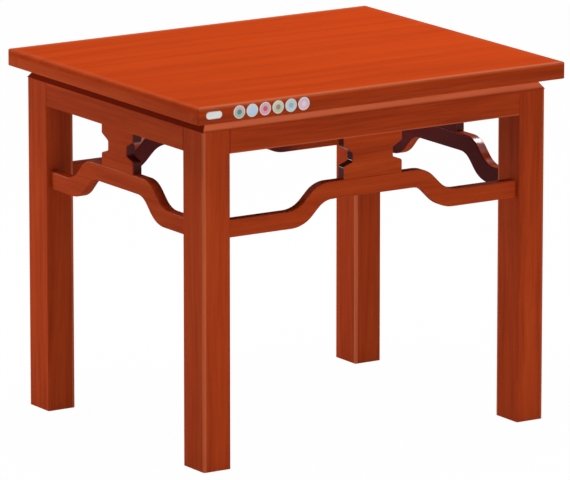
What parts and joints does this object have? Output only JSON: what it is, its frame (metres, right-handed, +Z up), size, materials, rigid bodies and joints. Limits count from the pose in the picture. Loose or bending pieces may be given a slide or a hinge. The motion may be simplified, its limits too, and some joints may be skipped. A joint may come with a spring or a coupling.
{
  "type": "automatic mahjong table",
  "caption": "Automatic mahjong table with a lift-off dining cover, square timber legs, humpback stretchers and a tile shuffling and lifting machine inside.",
  "frame": {"origin": "floor, below the middle of the table", "axes": "+X along the long side to the right, -Y the front with the badges, +Z up"},
  "size_m": [0.891, 0.7456, 0.76],
  "materials": {
    "frame_timber": "glossy lacquer",
    "cover_timber": "glossy lacquer",
    "glide_nylon": "plain",
    "pad_felt": "felt",
    "plate_white": "gloss",
    "badge_plastic": "gloss",
    "deck_wood": "sanded board",
    "green_felt": "felt",
    "screw_steel": "plain",
    "tray_steel": "satin",
    "drum_plastic": "satin",
    "column_alloy": "turned",
    "disc_plastic": "satin",
    "motor_steel": "satin",
    "drive_rubber": "plain",
    "console_plastic": "gloss",
    "window_clear": "clear",
    "dice_white": "gloss",
    "button_red": "gloss",
    "button_blue": "gloss",
    "guide_plastic": "satin",
    "carriage_plastic": "satin",
    "pickup_rubber": "plain",
    "supply_metal": "satin",
    "gland_plastic": "plain",
    "switch_plastic": "gloss",
    "board_green": "plain"
  },
  "bodies": {
    "table": {"leg_front_left": "frame_timber", "leg_front_right": "frame_timber", "leg_rear_left": "frame_timber", "leg_rear_right": "frame_timber", "apron_front": "frame_timber", "apron_right": "frame_timber", "apron_rear": "frame_timber", "apron_left": "frame_timber", "stretcher_front": "frame_timber", "stretcher_right": "frame_timber", "stretcher_rear": "frame_timber", "stretcher_left": "frame_timber", "strut_front": "frame_timber", "strut_right": "frame_timber", "strut_rear": "frame_timber", "strut_left": "frame_timber", "rim_front": "frame_timber", "rim_right": "frame_timber", "rim_rear": "frame_timber", "rim_left": "frame_timber", "foot_glides": "glide_nylon", "deck_board": "deck_wood", "play_felt": "green_felt", "machine_screws": "screw_steel", "base_tray": "tray_steel", "drum_wall": "drum_plastic", "centre_column": "column_alloy", "drum_motor": "motor_steel", "lift_actuators": "motor_steel", "lift_guides": "guide_plastic", "pickup_motors": "motor_steel", "tile_chutes": "guide_plastic", "power_supply": "supply_metal", "cable_gland": "gland_plastic", "control_board": "board_green"},
    "cover": {"cover_panel": "cover_timber", "cover_edge_front": "cover_timber", "cover_edge_right": "cover_timber", "cover_edge_rear": "cover_timber", "cover_edge_left": "cover_timber", "cover_pads": "pad_felt", "oval_plate": "plate_white", "round_badges": "badge_plastic"},
    "console": {"console_top": "console_plastic", "console_body": "console_plastic", "dice_window": "window_clear", "dice": "dice_white"},
    "dice_button": {"dice_button": "button_red"},
    "lift_button": {"lift_button": "button_blue"},
    "shuffle_disc": {"shuffle_disc": "disc_plastic"},
    "drive_wheel": {"drum_drive_wheel": "drive_rubber"},
    "power_switch": {"power_switch": "switch_plastic"},
    "lift_front": {"lift_carriage_front": "carriage_plastic"},
    "lift_right": {"lift_carriage_right": "carriage_plastic"},
    "lift_rear": {"lift_carriage_rear": "carriage_plastic"},
    "lift_left": {"lift_carriage_left": "carriage_plastic"},
    "pickup_front_left": {"pickup_wheel_front_left": "pickup_rubber"},
    "pickup_front_right": {"pickup_wheel_front_right": "pickup_rubber"},
    "pickup_rear_right": {"pickup_wheel_rear_right": "pickup_rubber"},
    "pickup_rear_left": {"pickup_wheel_rear_left": "pickup_rubber"}
  },
  "joints": [
    {"name": "cover_lift", "type": "slide", "parent": "table", "child": "cover", "axis": [0, 0, 1], "range_m": [0, 0.25]},
    {"name": "console_rise", "type": "slide", "parent": "table", "child": "console", "axis": [0, 0, 1], "range_m": [0, 0.02]},
    {"name": "dice_button_press", "type": "slide", "parent": "console", "child": "dice_button", "axis": [0, 0, 1], "range_m": [-0.0015, 0], "stiffness_N_per_m": 400},
    {"name": "lift_button_press", "type": "slide", "parent": "console", "child": "lift_button", "axis": [0, 0, 1], "range_m": [-0.0015, 0], "stiffness_N_per_m": 400},
    {"name": "shuffle_spin", "type": "hinge", "parent": "table", "child": "shuffle_disc", "pos_m": [0, 0, 0.655], "axis": [0, 0, 1], "continuous": true},
    {"name": "drive_wheel_spin", "type": "hinge", "parent": "table", "child": "drive_wheel", "pos_m": [0.05636, 0.05636, 0.643], "axis": [0, 0, 1], "continuous": true},
    {"name": "power_switch_rock", "type": "hinge", "parent": "table", "child": "power_switch", "pos_m": [0.331, 0.029, 0.677], "axis": [1, 0, 0], "range_deg": [-8, 8]},
    {"name": "tile_lift_front", "type": "slide", "parent": "table", "child": "lift_front", "axis": [0, 0, 1], "range_m": [-0.032, 0]},
    {"name": "tile_lift_right", "type": "slide", "parent": "table", "child": "lift_right", "axis": [0, 0, 1], "range_m": [-0.032, 0]},
    {"name": "tile_lift_rear", "type": "slide", "parent": "table", "child": "lift_rear", "axis": [0, 0, 1], "range_m": [-0.032, 0]},
    {"name": "tile_lift_left", "type": "slide", "parent": "table", "child": "lift_left", "axis": [0, 0, 1], "range_m": [-0.032, 0]},
    {"name": "pickup_spin_front_left", "type": "hinge", "parent": "table", "child": "pickup_front_left", "pos_m": [-0.11597, -0.11597, 0.6685], "axis": [0.7071, -0.7071, 0], "continuous": true},
    {"name": "pickup_spin_front_right", "type": "hinge", "parent": "table", "child": "pickup_front_right", "pos_m": [0.11597, -0.11597, 0.6685], "axis": [0.7071, 0.7071, 0], "continuous": true},
    {"name": "pickup_spin_rear_right", "type": "hinge", "parent": "table", "child": "pickup_rear_right", "pos_m": [0.11597, 0.11597, 0.6685], "axis": [-0.7071, 0.7071, 0], "continuous": true},
    {"name": "pickup_spin_rear_left", "type": "hinge", "parent": "table", "child": "pickup_rear_left", "pos_m": [-0.11597, 0.11597, 0.6685], "axis": [-0.7071, -0.7071, 0], "continuous": true}
  ],
  "couplings": [
    {"joint": "drive_wheel_spin", "follows": "shuffle_spin", "ratio": 3.6667}
  ]
}
